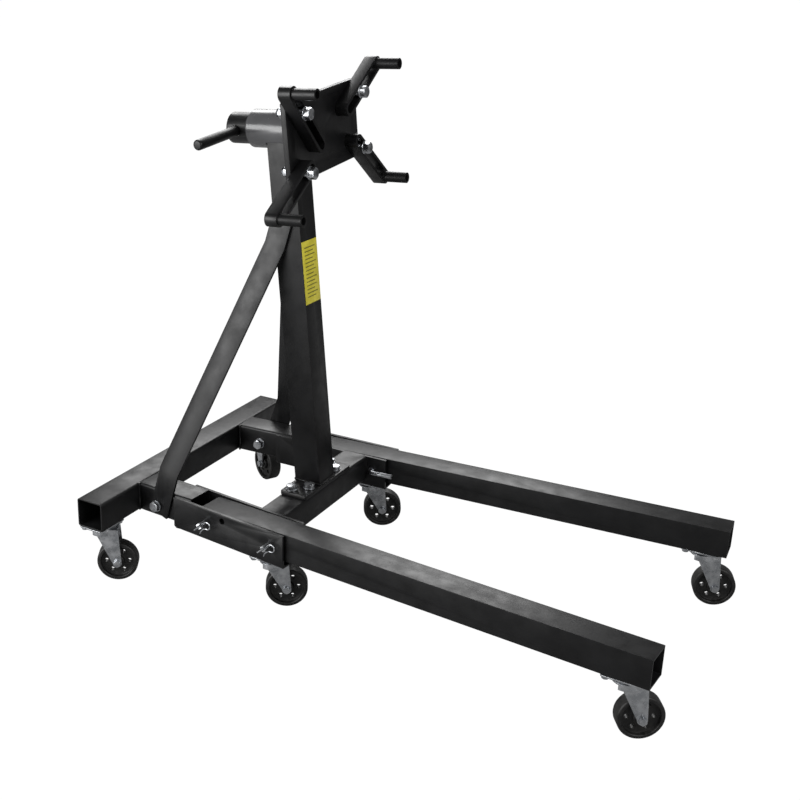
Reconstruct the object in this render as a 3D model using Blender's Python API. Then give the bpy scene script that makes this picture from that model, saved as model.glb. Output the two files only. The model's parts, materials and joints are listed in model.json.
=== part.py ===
"""A folding engine stand on six casters: welded frame, folding legs, leaning upright and rotating head.

Metres, +X from the rear cross tube towards the free ends of the legs, +Y left, +Z up, floor at z = 0.
"""

import math

import bmesh
import bpy
from mathutils import Matrix, Vector

MM = 0.001
GAP = 0.3 * MM  # between pieces that touch on the real stand

# Where the model's rear face lies, so that the origin is under the middle of its box.
REAR_X = -575.5 * MM

# Base frame
TUBE = 60 * MM
TUBE_WALL = 3 * MM
CROSS_LENGTH = 660 * MM
CROSS_TOP = 183.4 * MM
RAIL_Y = 180 * MM
SPLAY = math.radians(4.0)  # each rail and leg toes out
STUB_LENGTH = 135 * MM

# U channels that take the legs: distances U run along the rail from the cross tube
CHANNEL_START = 97 * MM
CHANNEL_END = 362 * MM
CHANNEL_INNER = TUBE + 2 * GAP
CHANNEL_WALL = 6 * MM
CHANNEL_FLOOR = 4 * MM
CHANNEL_BOTTOM_REAR = 113 * MM
CHANNEL_BOTTOM_FRONT = 106 * MM
CHANNEL_TOP_REAR = 181 * MM
CHANNEL_TOP_FRONT = 175 * MM

# Legs
LEG = 56 * MM
LEG_TOP = 176 * MM
LEG_REAR_U = 162 * MM
LEG_FRONT_U = 1072 * MM
LEG_AXIS_Z = LEG_TOP - LEG / 2
PIVOT_U = 176 * MM
LOCK_U = 330 * MM
STORE_U = 218 * MM
STORE_Z = 164 * MM
PIN_RADIUS = 6 * MM
PIN_HOLE_RADIUS = 6.4 * MM
PIN_TIP = 19 * MM  # how far a pin stands out of the channel's outer wall
PIN_HANDLE = 42 * MM
CLIP_WIRE = 1.5 * MM
CLIP_SLOT = 4 * MM
CLIP_SEAT = 8 * MM  # from the channel's outer wall to the slot's bottom
CLIP_TURN = math.radians(48)  # how far the clip leans from upright

# Front cross tube, base plate and upright
FRONT_TUBE_X = 320 * MM
FRONT_TUBE_TOP = 177 * MM
FRONT_TUBE_HEIGHT = 56 * MM
BASE_PLATE = (60 * MM, 182 * MM, 8 * MM)
BASE_BOLT_Y = (52 * MM, 76 * MM)
UPRIGHT = 58 * MM
UPRIGHT_X = 347 * MM
LEAN = math.radians(6.1)

# Braces
BRACE_WIDTH = 45 * MM
BRACE_THICK = 6 * MM
BRACE_BOLT_U = 53 * MM
BRACE_BOLT_Z = 150 * MM

# Rotating head, in its own frame: X along the shaft, origin on the plate's front face
HEAD_X = 352 * MM
HEAD_Z = 890 * MM
HEAD_TILT = math.radians(3.6)
HEAD_ROLL = math.radians(4.6)
PLATE_THICK = 10 * MM
PLATE_WIDTH = 256 * MM
PLATE_HEIGHT = 148 * MM
SLEEVE_RADIUS = 36 * MM
SLEEVE_BORE = 30 * MM
SLEEVE_REAR = -154 * MM
SLEEVE_FRONT = -12 * MM
SHAFT_RADIUS = 29.6 * MM
SHAFT_BORE = 25 * MM
SHAFT_REAR = -198 * MM
HANDLE_RADIUS = 10 * MM
HANDLE_T = -177 * MM
HANDLE_NEAR_END = -156 * MM
HANDLE_FAR_END = 34 * MM

# Arms: a strip bent round into a slotted loop, with a peg tube at its outer end
ARM_DEPTH = 25 * MM
ARM_WIDTH = 28 * MM
ARM_SLOT = 17 * MM
ARM_LENGTH = 135 * MM  # from the peg's centre to the centre of the inner round end
PEG_RADIUS = 10.5 * MM
PEG_BORE = 7 * MM
PEG_LENGTH = 72 * MM
BOLT_RADIUS = 7.8 * MM
BOLT_Y = 104 * MM
BOLT_Z = 53 * MM
# name: (side along the plate, up or down, peg's angle from the bolt, peg's distance from the bolt)
ARMS = {
    "top_right": (-1, 1, math.radians(128), 50 * MM),
    "bottom_right": (-1, -1, math.radians(207), 122 * MM),
    "top_left": (1, 1, math.radians(28), 85 * MM),
    "bottom_left": (1, -1, math.radians(-43), 113 * MM),
}

# Casters
WHEEL_SIDES = 24
WHEEL_FLAT = 41 * MM  # from the axle to a facet, so a facet rests on the floor
WHEEL_WIDTH = 28 * MM
AXLE_RADIUS = 4 * MM
TRAIL = 29 * MM
FORK_INNER = 33 * MM
FORK_SHEET = 3 * MM
CASTER_PLATE = (74 * MM, 56 * MM, 3 * MM)
RACE_RADIUS = 24 * MM
RACE_HEIGHT = 5 * MM
KINGPIN_RADIUS = 5 * MM
CROSS_CASTER_Y = 294 * MM
MID_CASTER_U = 312 * MM
FRONT_CASTER_U = 1024 * MM
# which way each wheel trails from its kingpin, turned from +X: (left, right)
REAR_HEADINGS = (math.radians(-28), math.radians(31))
MIDDLE_HEADINGS = (math.radians(28), math.radians(31))
FRONT_HEADINGS = (math.radians(22), math.radians(33))

for old in list(bpy.data.objects):
    bpy.data.objects.remove(old)


def material(name, colour, roughness, metallic):
    made = bpy.data.materials.new(name)
    made.use_nodes = True
    shader = made.node_tree.nodes["Principled BSDF"]
    shader.inputs["Base Color"].default_value = (*colour, 1)
    shader.inputs["Roughness"].default_value = roughness
    shader.inputs["Metallic"].default_value = metallic
    made.diffuse_color = (*colour, 1)
    return made


BLACK = material("black_powder_coat", (0.012, 0.012, 0.013), 0.38, 0.0)
GREY = material("grey_powder_coat", (0.05, 0.05, 0.052), 0.3, 0.0)
ZINC = material("zinc_plated_steel", (0.62, 0.63, 0.65), 0.3, 1.0)
RUBBER = material("black_wheel_rubber", (0.012, 0.012, 0.012), 0.55, 0.0)


def add(name, mesh, finish, place=None, smooth=False):
    """Links a bmesh as an object, with its faces pointing out."""
    bmesh.ops.recalc_face_normals(mesh, faces=mesh.faces)
    data = bpy.data.meshes.new(name)
    mesh.to_mesh(data)
    mesh.free()
    data.materials.append(finish)
    if smooth:
        data.shade_smooth()
        data.set_sharp_from_angle(angle=math.radians(35))
    made = bpy.data.objects.new(name, data)
    bpy.context.scene.collection.objects.link(made)
    if place is not None:
        made.matrix_world = place
    return made


def helper(made):
    made.hide_render = True
    made.display_type = "WIRE"
    return made


def boolean(target, tool, operation="DIFFERENCE"):
    modifier = target.modifiers.new(operation.lower(), "BOOLEAN")
    modifier.operation = operation
    modifier.solver = "EXACT"
    modifier.object = helper(tool)


def block(low, high):
    """A box between two corners."""
    mesh = bmesh.new()
    bmesh.ops.create_cube(mesh, size=1)
    size = Vector(high) - Vector(low)
    middle = (Vector(high) + Vector(low)) / 2
    bmesh.ops.scale(mesh, vec=size, verts=mesh.verts)
    bmesh.ops.translate(mesh, vec=middle, verts=mesh.verts)
    return mesh


def prism(outline, depth, axis="Y"):
    """Extrudes an outline over depth = (low, high): outlines are (x, z) for axis Y and (y, z) for X."""
    mesh = bmesh.new()
    low, high = depth
    if axis == "Y":
        corners = [mesh.verts.new((x, low, z)) for x, z in outline]
        push = Vector((0, high - low, 0))
    elif axis == "X":
        corners = [mesh.verts.new((low, y, z)) for y, z in outline]
        push = Vector((high - low, 0, 0))
    else:
        corners = [mesh.verts.new((x, y, low)) for x, y in outline]
        push = Vector((0, 0, high - low))
    face = mesh.faces.new(corners)
    grown = bmesh.ops.extrude_face_region(mesh, geom=[face])
    moved = [item for item in grown["geom"] if isinstance(item, bmesh.types.BMVert)]
    bmesh.ops.translate(mesh, vec=push, verts=moved)
    return mesh


def arc(radius, start, end, steps, middle=(0, 0)):
    """Points round an arc, both ends included; angles in radians."""
    points = []
    for step in range(steps + 1):
        angle = start + (end - start) * step / steps
        points.append((middle[0] + radius * math.cos(angle), middle[1] + radius * math.sin(angle)))
    return points


def circle(radius, sides, turn=0.0, middle=(0, 0)):
    return arc(radius, turn, turn + math.tau * (sides - 1) / sides, sides - 1, middle)


def rod(radius, depth, axis="Y", sides=16, turn=0.0, middle=(0, 0)):
    return prism(circle(radius, sides, turn, middle), depth, axis)


def hollow(outer, inner, depth, axis="X"):
    """A tube from two outlines with the same number of points, open at both ends."""
    mesh = bmesh.new()
    rings = []
    for level in depth:
        for outline in (outer, inner):
            if axis == "X":
                ring = [mesh.verts.new((level, a, b)) for a, b in outline]
            elif axis == "Y":
                ring = [mesh.verts.new((a, level, b)) for a, b in outline]
            else:
                ring = [mesh.verts.new((a, b, level)) for a, b in outline]
            rings.append(ring)
    count = len(outer)
    for first, second in ((0, 1), (0, 2), (1, 3), (2, 3)):
        for k in range(count):
            after = (k + 1) % count
            mesh.faces.new((rings[first][k], rings[first][after], rings[second][after], rings[second][k]))
    return mesh


def square(width, height):
    return [(-width / 2, -height / 2), (width / 2, -height / 2), (width / 2, height / 2), (-width / 2, height / 2)]


def square_tube(width, height, wall, depth, axis="X"):
    return hollow(square(width, height), square(width - 2 * wall, height - 2 * wall), depth, axis)


def turned(profile, sides=24):
    """Spins (radius, z) points round Z into a closed solid; the first and last points lie on the axis."""
    mesh = bmesh.new()
    rings = []
    for radius, height in profile:
        if radius == 0:
            rings.append([mesh.verts.new((0, 0, height))])
        else:
            rings.append([mesh.verts.new((x, y, height)) for x, y in circle(radius, sides)])
    for lower, upper in zip(rings, rings[1:]):
        for k in range(sides):
            after = (k + 1) % sides
            corners = [lower[k % len(lower)], lower[after % len(lower)]]
            corners += [upper[after % len(upper)], upper[k % len(upper)]]
            mesh.faces.new(list(dict.fromkeys(corners)))
    return mesh


def joined(target, *others):
    """Unites helper solids into target."""
    for other in others:
        boolean(target, other, "UNION")
    return target


def cut(target, *tools):
    for tool in tools:
        boolean(target, tool)
    return target


def at(x, y, z):
    return Matrix.Translation((x, y, z))


def rail_frame(side):
    """X along the rail from the cross tube's front face, Z from the floor; side is +1 for left."""
    return at(REAR_X + TUBE, side * RAIL_Y, 0) @ Matrix.Rotation(side * SPLAY, 4, "Z")


SIDES = {"left": 1, "right": -1}
UPRIGHT_FRAME = at(REAR_X + UPRIGHT_X, 0, FRONT_TUBE_TOP + GAP + BASE_PLATE[2]) @ Matrix.Rotation(-LEAN, 4, "Y")
HEAD_FRAME = at(REAR_X + HEAD_X, 0, HEAD_Z) @ Matrix.Rotation(-HEAD_TILT, 4, "Y") @ Matrix.Rotation(HEAD_ROLL, 4, "X")


def make_rear_cross_tube():
    """The rear square tube with the two rail stubs welded to its front face."""
    place = at(REAR_X + TUBE / 2, 0, CROSS_TOP - TUBE / 2)
    half = CROSS_LENGTH / 2
    cross = add("rear_cross_tube", square_tube(TUBE, TUBE, TUBE_WALL, (-half, half), "Y"), BLACK, place)
    for side in SIDES.values():
        depth = (-TUBE_WALL, STUB_LENGTH)
        stub = add("stub_union", square_tube(TUBE, TUBE, TUBE_WALL, depth), BLACK)
        stub.matrix_world = rail_frame(side) @ at(0, 0, CROSS_TOP - TUBE / 2)
        joined(cross, stub)
        hole = add("stub_hole", rod(PIN_HOLE_RADIUS, (-TUBE, TUBE), "Y"), BLACK)
        hole.matrix_world = rail_frame(side) @ at(BRACE_BOLT_U, 0, BRACE_BOLT_Z)
        cut(cross, hole)


def channel_line(rear, front, u):
    """Height along a channel's sloping edge."""
    share = (u - CHANNEL_START) / (CHANNEL_END - CHANNEL_START)
    return rear + (front - rear) * share


def make_channel(name, side):
    """An open-topped U channel, sloping slightly down to the front."""
    outline = [
        (CHANNEL_START, CHANNEL_BOTTOM_REAR),
        (CHANNEL_END, CHANNEL_BOTTOM_FRONT),
        (CHANNEL_END, CHANNEL_TOP_FRONT),
        (CHANNEL_START, CHANNEL_TOP_REAR),
    ]
    half = CHANNEL_INNER / 2 + CHANNEL_WALL
    channel = add(name, prism(outline, (-half, half)), BLACK, rail_frame(side))
    over = 40 * MM
    trough = [
        (CHANNEL_START - over, channel_line(CHANNEL_BOTTOM_REAR, CHANNEL_BOTTOM_FRONT, CHANNEL_START - over)),
        (CHANNEL_END + over, channel_line(CHANNEL_BOTTOM_REAR, CHANNEL_BOTTOM_FRONT, CHANNEL_END + over)),
    ]
    trough = [(u, z + CHANNEL_FLOOR) for u, z in trough]
    trough += [(CHANNEL_END + over, CHANNEL_TOP_REAR + over), (CHANNEL_START - over, CHANNEL_TOP_REAR + over)]
    inner = CHANNEL_INNER / 2
    cut(channel, add("trough", prism(trough, (-inner, inner)), BLACK, rail_frame(side)))
    for u, z in ((PIVOT_U, LEG_AXIS_Z), (LOCK_U, LEG_AXIS_Z), (STORE_U, STORE_Z)):
        hole = rod(PIN_HOLE_RADIUS, (-TUBE, TUBE), "Y", 16, 0, (u, z))
        cut(channel, add("pin_hole", hole, BLACK, rail_frame(side)))


def make_front_cross_tube():
    """Spans between the channels' inner walls; its ends follow the splay."""
    inner = RAIL_Y - (CHANNEL_INNER / 2 + CHANNEL_WALL + GAP) / math.cos(SPLAY)
    rear_half = inner + (FRONT_TUBE_X - TUBE) * math.tan(SPLAY)
    front_half = inner + FRONT_TUBE_X * math.tan(SPLAY)
    mesh = square_tube(TUBE, FRONT_TUBE_HEIGHT, TUBE_WALL, (-1, 1), "Y")
    for vert in mesh.verts:
        share = vert.co.x / TUBE + 0.5
        vert.co.y *= rear_half + (front_half - rear_half) * share
    place = at(REAR_X + FRONT_TUBE_X + TUBE / 2, 0, FRONT_TUBE_TOP - FRONT_TUBE_HEIGHT / 2)
    tube = add("front_cross_tube", mesh, BLACK, place)
    plate_place = at(REAR_X + FRONT_TUBE_X + TUBE / 2, 0, FRONT_TUBE_TOP + GAP)
    length, width, thick = BASE_PLATE
    plate = add("upright_base_plate", block((-length / 2, -width / 2, 0), (length / 2, width / 2, thick)), BLACK, plate_place)
    number = 0
    for side in (-1, 1):
        for column, x in enumerate((-12 * MM, 14 * MM)):
            number += 1
            y = side * BASE_BOLT_Y[1 - column]
            hole = add("base_hole", rod(6.4 * MM, (-20 * MM, 20 * MM), "Z", 12, 0, (x, y)), BLACK, plate_place)
            cut(plate, hole)
            cut(tube, add("tube_hole", rod(6.4 * MM, (-20 * MM, 20 * MM), "Z", 12, 0, (x, y)), BLACK, plate_place))
            make_bolt(f"base_bolt_{number}", plate_place @ at(x, y, thick + GAP), thick + 12 * MM)


def make_bolt(name, place, shank, radius=6 * MM, across=19 * MM):
    """A hex bolt with its washer: Z points out of the head, z = 0 is the washer's underside."""
    washer = 2.5 * MM
    head = washer + 8 * MM
    bolt = add(name, rod(radius, (-shank, washer), "Z", 12), ZINC, place)
    hexagon = add("bolt_head", rod(across / math.sqrt(3), (washer / 2, head), "Z", 6), ZINC, place)
    disc = add("bolt_washer", rod(across * 0.62, (0, washer), "Z", 20), ZINC, place)
    joined(bolt, disc, hexagon)


def make_upright():
    """The leaning square tube, cut at its foot to the base plate and at its top to the sleeve."""
    slope = UPRIGHT * math.tan(LEAN)
    mesh = square_tube(UPRIGHT, UPRIGHT, TUBE_WALL, (-slope, 700 * MM), "Z")
    tube = add("upright_tube", mesh, BLACK, UPRIGHT_FRAME)
    floor = block((-0.2, -0.2, -0.1), (0.2, 0.2, GAP))
    foot = at(REAR_X + UPRIGHT_X, 0, FRONT_TUBE_TOP + GAP + BASE_PLATE[2])
    cut(tube, add("foot_cut", floor, BLACK, foot))
    saddle = rod(SLEEVE_RADIUS + GAP, (SLEEVE_REAR - 0.05, 0.05), "X", 32)
    above = block((SLEEVE_REAR - 0.05, -0.1, 0), (0.05, 0.1, 0.15))
    cut(tube, add("saddle_cut", saddle, BLACK, HEAD_FRAME), add("top_cut", above, BLACK, HEAD_FRAME))


def make_sleeve():
    """The outer tube of the head, with its rear rim chamfered."""
    chamfer = 5 * MM
    profile = ((SLEEVE_REAR, SLEEVE_RADIUS - chamfer), (SLEEVE_REAR + chamfer, SLEEVE_RADIUS), (SLEEVE_FRONT, SLEEVE_RADIUS))
    mesh = bmesh.new()
    sides = 32
    rings = [[mesh.verts.new((t, y, z)) for y, z in circle(radius, sides)] for t, radius in profile]
    bore = [(SLEEVE_FRONT, SLEEVE_BORE), (SLEEVE_REAR, SLEEVE_BORE)]
    rings += [[mesh.verts.new((t, y, z)) for y, z in circle(radius, sides)] for t, radius in bore]
    for index, ring in enumerate(rings):
        following = rings[(index + 1) % len(rings)]
        for k in range(sides):
            after = (k + 1) % sides
            mesh.faces.new((ring[k], ring[after], following[after], following[k]))
    add("head_sleeve", mesh, GREY, HEAD_FRAME, smooth=True)


def brace_line(side):
    """Four stations (centre, width direction) along a brace, from its bottom end to its top end."""
    rail = rail_frame(side)
    turn = rail.to_3x3()
    outside = CHANNEL_INNER / 2
    low = rail @ Vector((BRACE_BOLT_U + 2 * MM, side * outside, 133 * MM))
    bend = rail @ Vector((86 * MM, side * outside, 234 * MM))
    near = UPRIGHT / 2 + GAP
    upper = Vector((REAR_X + 268 * MM, side * near, 668 * MM))
    top = Vector((REAR_X + 284 * MM, side * near, 722 * MM))
    return [
        (low, turn @ Vector((0.95, 0, -0.31))),
        (bend, turn @ Vector((0.95, 0, -0.31))),
        (upper, Vector((0.962, 0, -0.272))),
        (top, Vector((0.962, 0, -0.272))),
    ]


def make_brace(name, side):
    """A flat bar bent near both ends: its outer face is one strip, thickened outwards."""
    stations = brace_line(side)
    outward = Vector((0, side, 0))
    mesh = bmesh.new()
    rings = []
    for centre, width in stations:
        across = width.normalized() * BRACE_WIDTH / 2
        inner = [centre - across, centre + across]
        outer = [point + outward * BRACE_THICK for point in (inner[1], inner[0])]
        rings.append([mesh.verts.new(point) for point in inner + outer])
    mesh.faces.new(rings[0])
    mesh.faces.new(rings[-1])
    for lower, upper in zip(rings, rings[1:]):
        for k in range(4):
            after = (k + 1) % 4
            mesh.faces.new((lower[k], lower[after], upper[after], upper[k]))
    brace = add(name, mesh, BLACK)
    hole = add("brace_hole", rod(PIN_HOLE_RADIUS, (-0.05, 0.05), "Y"), BLACK)
    hole.matrix_world = rail_frame(side) @ at(BRACE_BOLT_U, side * TUBE / 2, BRACE_BOLT_Z)
    cut(brace, hole)


def make_brace_bolt(name, side):
    """Passes through the brace and the rail stub, with its head outside and its nut inside the frame."""
    outer = TUBE / 2 + GAP + BRACE_THICK + 1.2 * MM
    inner = -TUBE / 2 - GAP
    washer = 2.5 * MM
    head = 8 * MM
    place = rail_frame(side) @ at(BRACE_BOLT_U, 0, BRACE_BOLT_Z)
    shank = tuple(sorted((side * (outer + washer), side * (inner - washer))))
    bolt = add(name, rod(6 * MM, shank, "Y", 12), ZINC, place)
    for start, end, radius, sides in (
        (outer, outer + washer, 12 * MM, 20),
        (outer + washer / 2, outer + washer + head, 11 * MM, 6),
        (inner, inner - washer, 12 * MM, 20),
        (inner - washer / 2, inner - washer - head, 11 * MM, 6),
    ):
        depth = tuple(sorted((side * start, side * end)))
        joined(bolt, add("bolt_piece", rod(radius, depth, "Y", sides), ZINC, place))


def make_leg(name, side):
    """A square tube turning on the pivot pin; an arc slot below the lock hole clears the lock pin."""
    place = rail_frame(side) @ at(PIVOT_U, 0, LEG_AXIS_Z)
    leg = add(name, square_tube(LEG, LEG, TUBE_WALL, (LEG_REAR_U - PIVOT_U, LEG_FRONT_U - PIVOT_U)), BLACK, place)
    cut(leg, add("pivot_hole", rod(PIN_HOLE_RADIUS, (-TUBE, TUBE), "Y"), BLACK, place))
    reach = LOCK_U - PIVOT_U
    drop = math.asin(LEG / reach)
    inside = reach - PIN_HOLE_RADIUS
    outside = reach + PIN_HOLE_RADIUS
    outline = arc(PIN_HOLE_RADIUS, math.pi, 0, 8, (reach, 0))
    outline += arc(outside, 0, -drop, 4)[1:]
    outline += arc(inside, -drop, 0, 4)[:-1]
    cut(leg, add("lock_slot", prism(outline, (-TUBE, TUBE)), BLACK, place))


def wire(name, points, radius, finish, place):
    """A round bar along points: a curve with a bevel and filled caps."""
    curve = bpy.data.curves.new(name, "CURVE")
    curve.dimensions = "3D"
    curve.bevel_depth = radius
    curve.bevel_resolution = 2
    curve.use_fill_caps = True
    spline = curve.splines.new("POLY")
    spline.points.add(len(points) - 1)
    for point, place_of in zip(spline.points, points):
        point.co = (*place_of, 1)
    curve.materials.append(finish)
    made = bpy.data.objects.new(name, curve)
    bpy.context.scene.collection.objects.link(made)
    made.matrix_world = place
    return made


def make_pin(name, side, u, handle_turn):
    """A round pin through channel and leg, with a bent handle on the inner side of the frame."""
    place = rail_frame(side) @ at(u, 0, LEG_AXIS_Z)
    wall = CHANNEL_INNER / 2 + CHANNEL_WALL
    tip = side * (wall + PIN_TIP)
    bend = 12 * MM
    start = -side * (wall + 3 * MM)
    pin = add(name, rod(PIN_RADIUS, tuple(sorted((tip, start))), "Y", 16), ZINC, place, smooth=True)
    points = [(0, start + side * 8 * MM)]
    points += [(bend - bend * math.cos(a), start - side * bend * math.sin(a)) for a in (0, 0.4, 0.8, 1.2, math.pi / 2)]
    points += [(bend + PIN_HANDLE, start - side * bend)]
    bar = [(along * math.cos(handle_turn), y, along * math.sin(handle_turn)) for along, y in points]
    grip = wire("pin_grip", bar, PIN_RADIUS * 0.8, ZINC, place)
    solid = bpy.data.meshes.new_from_object(grip)
    bpy.data.objects.remove(grip)
    handle = bpy.data.objects.new("pin_handle", solid)
    bpy.context.scene.collection.objects.link(handle)
    handle.matrix_world = place
    joined(pin, handle)
    slot_depth = tuple(sorted((side * (wall + CLIP_SEAT), side * (wall + 2 * PIN_TIP))))
    slot = block((-CLIP_SLOT / 2, slot_depth[0], -0.02), (CLIP_SLOT / 2, slot_depth[1], 0.02))
    cut(pin, add("clip_slot", slot, ZINC, place @ Matrix.Rotation(CLIP_TURN, 4, "Y")))


def make_clip(name, side, u):
    """A spring clip of bent wire through the pin's end slot: one straight leg, an eye and a waved leg."""
    wall = CHANNEL_INNER / 2 + CHANNEL_WALL
    y = side * (wall + CLIP_SEAT + CLIP_WIRE + 2 * MM)
    eye = 7.5 * MM
    straight = [(0, -24 * MM), (0, 12 * MM)]
    loop = arc(eye, math.pi, -math.radians(60), 12, (eye, 12 * MM))
    waved = [(9 * MM, 1 * MM), (8.4 * MM, -4 * MM), (9.6 * MM, -10 * MM), (12 * MM, -15 * MM)]
    flat = straight + loop[1:] + waved
    bent = [(x * math.cos(CLIP_TURN) + z * math.sin(CLIP_TURN), z * math.cos(CLIP_TURN) - x * math.sin(CLIP_TURN)) for x, z in flat]
    wire(name, [(x, y, z) for x, z in bent], CLIP_WIRE, ZINC, rail_frame(side) @ at(u, 0, LEG_AXIS_Z))


def make_caster(name, place, heading, height):
    """A swivel plate caster: place is the point on the floor below its kingpin."""
    mount = place @ at(0, 0, height - GAP)
    length, width, thick = CASTER_PLATE
    plate = add(f"{name}_plate", block((-length / 2, -width / 2, -thick), (length / 2, width / 2, 0)), ZINC, mount)
    race = turned([
        (0, -thick / 2), (RACE_RADIUS, -thick / 2), (RACE_RADIUS, -thick - RACE_HEIGHT * 0.6),
        (RACE_RADIUS * 0.75, -thick - RACE_HEIGHT), (KINGPIN_RADIUS, -thick - RACE_HEIGHT),
        (KINGPIN_RADIUS, -thick - RACE_HEIGHT - FORK_SHEET - 2 * GAP),
        (KINGPIN_RADIUS * 1.8, -thick - RACE_HEIGHT - FORK_SHEET - 2 * GAP),
        (KINGPIN_RADIUS * 1.6, -thick - RACE_HEIGHT - FORK_SHEET - 3.5 * MM),
        (0, -thick - RACE_HEIGHT - FORK_SHEET - 3.5 * MM),
    ], 20)
    joined(plate, add("caster_race", race, ZINC, mount))
    swivel = place @ Matrix.Rotation(heading, 4, "Z")
    top = height - 2 * GAP - thick - RACE_HEIGHT
    outline = [(-RACE_RADIUS, top), (-RACE_RADIUS, top - 12 * MM)]
    outline += arc(9 * MM, math.radians(205), math.radians(370), 6, (TRAIL, WHEEL_FLAT))
    outline += [(TRAIL + 5 * MM, top - 12 * MM), (TRAIL + 3 * MM, top)]
    half = FORK_INNER / 2 + FORK_SHEET
    fork = add(f"{name}_fork", prism(outline, (-half, half)), ZINC, swivel)
    inner = FORK_INNER / 2
    space = block((-0.1, -inner, -0.05), (0.1, inner, top - FORK_SHEET))
    cut(fork, add("fork_space", space, ZINC, swivel))
    cut(fork, add("kingpin_hole", rod(KINGPIN_RADIUS + 0.4 * MM, (top - 0.01, top + 0.01), "Z"), ZINC, swivel))
    axle_place = swivel @ at(TRAIL, 0, WHEEL_FLAT)
    cut(fork, add("axle_hole", rod(AXLE_RADIUS + GAP, (-0.05, 0.05), "Y", 12), ZINC, axle_place))
    axle = add(f"{name}_axle", rod(AXLE_RADIUS, (-half - 2 * MM, half + 2 * MM), "Y", 12), ZINC, axle_place)
    for side in (-1, 1):
        depth = tuple(sorted((side * (half + GAP), side * (half + 5 * MM))))
        joined(axle, add("axle_nut", rod(7 * MM, depth, "Y", 6), ZINC, axle_place))
    flat_turn = math.pi / WHEEL_SIDES
    rim = circle(WHEEL_FLAT / math.cos(flat_turn), WHEEL_SIDES, flat_turn)
    bore = circle(AXLE_RADIUS + 0.4 * MM, WHEEL_SIDES, flat_turn)
    wheel = hollow(rim, bore, (-WHEEL_WIDTH / 2, WHEEL_WIDTH / 2), "Y")
    add(f"{name}_wheel", wheel, RUBBER, axle_place, smooth=True)


def make_casters():
    quarter = math.pi / 2
    for index, (name, side) in enumerate(SIDES.items()):
        cross = at(REAR_X + TUBE / 2, side * CROSS_CASTER_Y, 0) @ Matrix.Rotation(quarter, 4, "Z")
        make_caster(f"rear_caster_{name}", cross, REAR_HEADINGS[index] - quarter, CROSS_TOP - TUBE)
        rail = rail_frame(side)
        level = Matrix.Rotation(-side * SPLAY, 4, "Z")
        middle = rail @ at(MID_CASTER_U, 0, 0) @ level
        bottom = channel_line(CHANNEL_BOTTOM_REAR, CHANNEL_BOTTOM_FRONT, MID_CASTER_U + CASTER_PLATE[0] / 2)
        make_caster(f"middle_caster_{name}", middle, MIDDLE_HEADINGS[index], bottom - 0.5 * MM)
        front = rail @ at(FRONT_CASTER_U, 0, 0) @ level
        make_caster(f"front_caster_{name}", front, FRONT_HEADINGS[index], LEG_TOP - LEG)


def make_head():
    """The rotating head: shaft, mounting plate and the loose bar through the shaft's rear end."""
    outer = circle(SHAFT_RADIUS, 32)
    inner = circle(SHAFT_BORE, 32)
    shaft = add("head_shaft", hollow(outer, inner, (SHAFT_REAR, -PLATE_THICK - GAP)), BLACK, HEAD_FRAME, smooth=True)
    handle_place = HEAD_FRAME @ at(HANDLE_T, 0, 0)
    cut(shaft, add("handle_hole", rod(HANDLE_RADIUS + 0.4 * MM, (-0.1, 0.1), "Y", 20), BLACK, handle_place))
    bar = rod(HANDLE_RADIUS, (HANDLE_NEAR_END, HANDLE_FAR_END), "Y", 20)
    add("handle_bar", bar, BLACK, handle_place, smooth=True)
    size = (PLATE_WIDTH / 2, PLATE_HEIGHT / 2)
    plate = add("mounting_plate", block((-PLATE_THICK, -size[0], -size[1]), (0, size[0], size[1])), BLACK, HEAD_FRAME)
    for name, (across, up, angle, distance) in ARMS.items():
        hinge = HEAD_FRAME @ at(0, across * BOLT_Y, up * BOLT_Z)
        cut(plate, add("arm_bolt_hole", rod(BOLT_RADIUS + 0.4 * MM, (-0.05, 0.05), "X", 16), BLACK, hinge))
        make_arm(name, hinge, angle, distance)
        make_arm_bolt(name, hinge)


def stadium(radius, start, end, steps):
    """An outline with round ends, running along Y from start to end."""
    left = arc(radius, math.pi / 2, math.pi * 1.5, steps, (start, 0))
    right = arc(radius, -math.pi / 2, math.pi / 2, steps, (end, 0))
    return left + right


def make_arm(name, hinge, angle, distance):
    """Y runs from the inner round end towards the peg; the bolt is at the origin."""
    place = hinge @ Matrix.Rotation(angle, 4, "X")
    tail = distance - ARM_LENGTH
    body = prism(stadium(ARM_WIDTH / 2, tail, distance, 10), (GAP, ARM_DEPTH), "X")
    arm = add(f"arm_{name}", body, BLACK, place)
    peg = rod(PEG_RADIUS, (ARM_DEPTH / 2, PEG_LENGTH), "X", 20, 0, (distance, 0))
    joined(arm, add("arm_peg", peg, BLACK, place))
    slot_end = distance - PEG_RADIUS - ARM_SLOT / 2
    slot = prism(stadium(ARM_SLOT / 2, tail, slot_end, 8), (-0.05, 0.05), "X")
    cut(arm, add("arm_slot", slot, BLACK, place))
    cut(arm, add("peg_bore", rod(PEG_BORE, (-0.05, 0.12), "X", 16, 0, (distance, 0)), BLACK, place))


def make_arm_bolt(name, hinge):
    """A hex bolt with a washer in front of the arm and a nut behind the plate."""
    washer = 3 * MM
    front = ARM_DEPTH + GAP
    back = -PLATE_THICK - GAP
    bolt = add(f"arm_bolt_{name}", rod(BOLT_RADIUS, (back - 20 * MM, front + washer), "X", 16), ZINC, hinge)
    for start, end, radius, sides in (
        (front, front + washer, 16 * MM, 24),
        (front + washer / 2, front + washer + 12 * MM, 15 * MM, 6),
        (back - washer, back, 16 * MM, 24),
        (back - washer - 12 * MM, back - washer / 2, 15 * MM, 6),
    ):
        joined(bolt, add("bolt_piece", rod(radius, (start, end), "X", sides), ZINC, hinge))


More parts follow.
